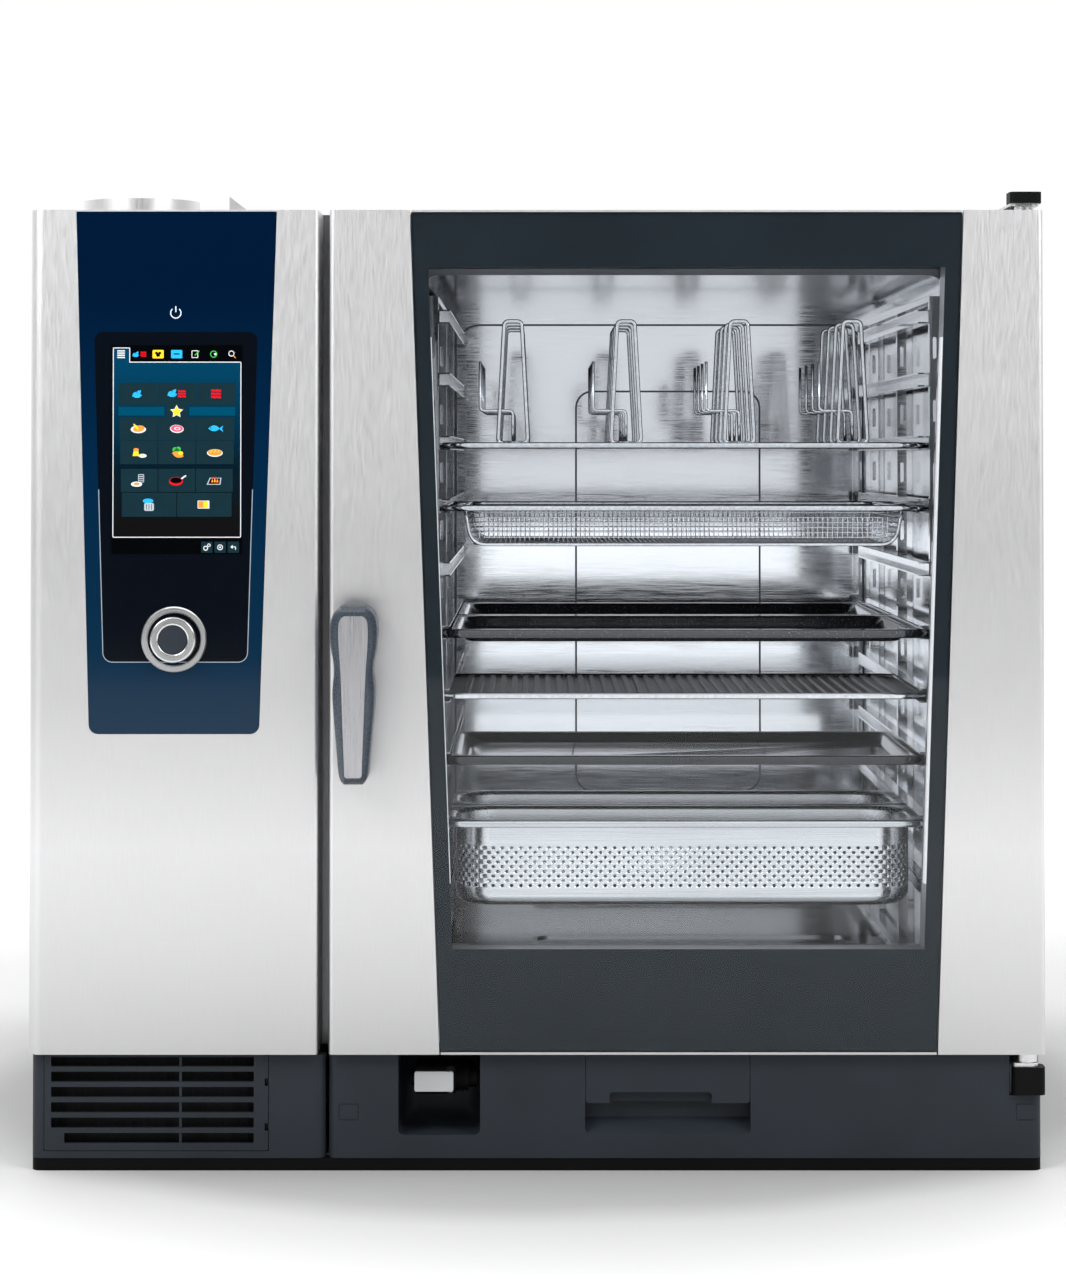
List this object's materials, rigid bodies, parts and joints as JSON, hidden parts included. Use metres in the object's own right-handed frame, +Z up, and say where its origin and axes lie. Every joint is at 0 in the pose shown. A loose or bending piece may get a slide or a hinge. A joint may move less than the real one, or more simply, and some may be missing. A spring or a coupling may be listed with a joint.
{
  "type": "combi steamer oven",
  "caption": "Ten-level double-width combi steamer: control column with touch panel and dial, glazed swing door, racked cavity, base with care drawer, hand shower and air filter.",
  "frame": {"origin": "middle of the footprint, on the surface the oven stands on", "axes": "+Z up, -Y out of the front, +X to the right of someone facing the oven"},
  "size_m": [1.072, 1.042, 1.052],
  "materials": {
    "casing_steel": "fine vertical brushing",
    "cabinet_front_steel": "satin",
    "cavity_steel": "satin",
    "structure_steel": "mill finish",
    "hinge_steel": "machined",
    "anthracite_plastic": "fine moulded grain",
    "black_plastic": "moulded",
    "grip_plastic": "satin",
    "trigger_plastic": "satin",
    "dial_metal": "satin",
    "dial_cap": "satin",
    "seal_rubber": "matt",
    "door_glass": "clear with a dark printed border",
    "panel_glass": "dark blue, printed behind",
    "mineral_wool": "fibrous",
    "enamel": "speckled gloss enamel",
    "wire_steel": "polished wire",
    "container_steel": "satin",
    "heater_tube": "heat tinted",
    "motor_paint": "painted",
    "valve_brass": "cast",
    "screw_steel": "polished",
    "lamp_lens": "diffuse"
  },
  "bodies": {
    "cabinet": {"foot_frame": "black_plastic", "base_frame": "structure_steel", "base_cover_left": "anthracite_plastic", "base_cover_right": "anthracite_plastic", "side_panel_left": "casing_steel", "side_panel_right": "casing_steel", "top_panel": "casing_steel", "rear_panel": "casing_steel", "column_panel": "casing_steel", "cabinet_front": "cabinet_front_steel", "exhaust_pipe": "casing_steel", "intake_hood": "casing_steel", "casing_screws": "screw_steel", "control_glass": "panel_glass", "display_module": "black_plastic", "dial_bezel": "dial_metal", "cavity_liner": "cavity_steel", "cavity_insulation": "mineral_wool", "air_baffle": "cavity_steel", "heater_coils": "heater_tube", "fan_motors": "motor_paint", "rack_left": "cavity_steel", "rack_right": "cavity_steel", "drain_strainer": "cavity_steel", "drain_box": "structure_steel", "steam_generator": "structure_steel", "water_inlets": "valve_brass", "cable_gland": "black_plastic", "spike_grid": "wire_steel", "fry_basket": "wire_steel", "enamel_tray_upper": "enamel", "grill_tray": "enamel", "enamel_tray_lower": "enamel", "container_front": "container_steel", "container_rear": "container_steel", "door_gasket": "seal_rubber", "enamel_tray_rear": "enamel", "hinge_brackets": "hinge_steel", "hinge_caps": "black_plastic"},
    "door": {"door_frame": "casing_steel", "door_panel_left": "casing_steel", "door_panel_right": "casing_steel", "door_glass_outer": "door_glass", "door_glass_inner": "door_glass", "door_led_strips": "lamp_lens", "door_hinge_pins": "hinge_steel"},
    "handle": {"handle_grip": "grip_plastic", "handle_insert": "dial_metal", "handle_shaft": "hinge_steel"},
    "dial_core": {"dial_core": "dial_cap"},
    "dial_ring": {"dial_ring": "dial_metal"},
    "care_drawer": {"care_drawer": "anthracite_plastic"},
    "hand_shower": {"shower_head": "black_plastic", "shower_hose": "seal_rubber"},
    "shower_trigger": {"shower_trigger": "trigger_plastic"},
    "hose_drum": {"hose_drum": "black_plastic"},
    "fan_wheel_upper": {"fan_wheel_upper": "structure_steel"},
    "fan_wheel_lower": {"fan_wheel_lower": "structure_steel"},
    "cooling_fan": {"cooling_fan": "black_plastic"},
    "air_filter": {"air_filter": "anthracite_plastic"}
  },
  "joints": [
    {"name": "door_hinge", "type": "hinge", "parent": "cabinet", "child": "door", "pos_m": [0.518, -0.451, 0.5], "axis": [0, 0, 1], "range_deg": [0, 180]},
    {"name": "door_handle_turn", "type": "hinge", "parent": "door", "child": "handle", "pos_m": [-0.1906, -0.45, 0.5698], "axis": [0, 1, 0], "range_deg": [-45, 45], "stiffness_Nm_per_rad": 1.5},
    {"name": "dial_push", "type": "slide", "parent": "cabinet", "child": "dial_core", "axis": [0, 1, 0], "range_m": [0, 0.0012], "stiffness_N_per_m": 1500},
    {"name": "dial_spin", "type": "hinge", "parent": "dial_core", "child": "dial_ring", "pos_m": [-0.3823, -0.478, 0.5603], "axis": [0, 1, 0], "continuous": true},
    {"name": "care_drawer_slide", "type": "slide", "parent": "cabinet", "child": "care_drawer", "axis": [0, -1, 0], "range_m": [0, 0.18]},
    {"name": "hand_shower_pull", "type": "slide", "parent": "cabinet", "child": "hand_shower", "axis": [0, -1, 0], "range_m": [0, 0.28], "stiffness_N_per_m": 25},
    {"name": "shower_trigger_press", "type": "hinge", "parent": "hand_shower", "child": "shower_trigger", "pos_m": [-0.091, -0.4504, 0.092], "axis": [0, 0, -1], "range_deg": [0, 5], "stiffness_Nm_per_rad": 0.8},
    {"name": "hose_drum_spin", "type": "hinge", "parent": "cabinet", "child": "hose_drum", "pos_m": [0.005, -0.1, 0.07], "axis": [0, 0, 1], "range_deg": [0, 205]},
    {"name": "fan_upper_spin", "type": "hinge", "parent": "cabinet", "child": "fan_wheel_upper", "pos_m": [-0.18, -0.025, 0.75], "axis": [1, 0, 0], "continuous": true},
    {"name": "fan_lower_spin", "type": "hinge", "parent": "cabinet", "child": "fan_wheel_lower", "pos_m": [-0.18, -0.025, 0.35], "axis": [1, 0, 0], "continuous": true},
    {"name": "cooling_fan_spin", "type": "hinge", "parent": "cabinet", "child": "cooling_fan", "pos_m": [-0.4, -0.384, 0.068], "axis": [0, 1, 0], "continuous": true},
    {"name": "air_filter_pull", "type": "slide", "parent": "cabinet", "child": "air_filter", "axis": [0, -1, 0], "range_m": [0, 0.05]}
  ],
  "couplings": [
    {"joint": "hose_drum_spin", "follows": "hand_shower_pull", "rad_per_m": 12.5}
  ]
}
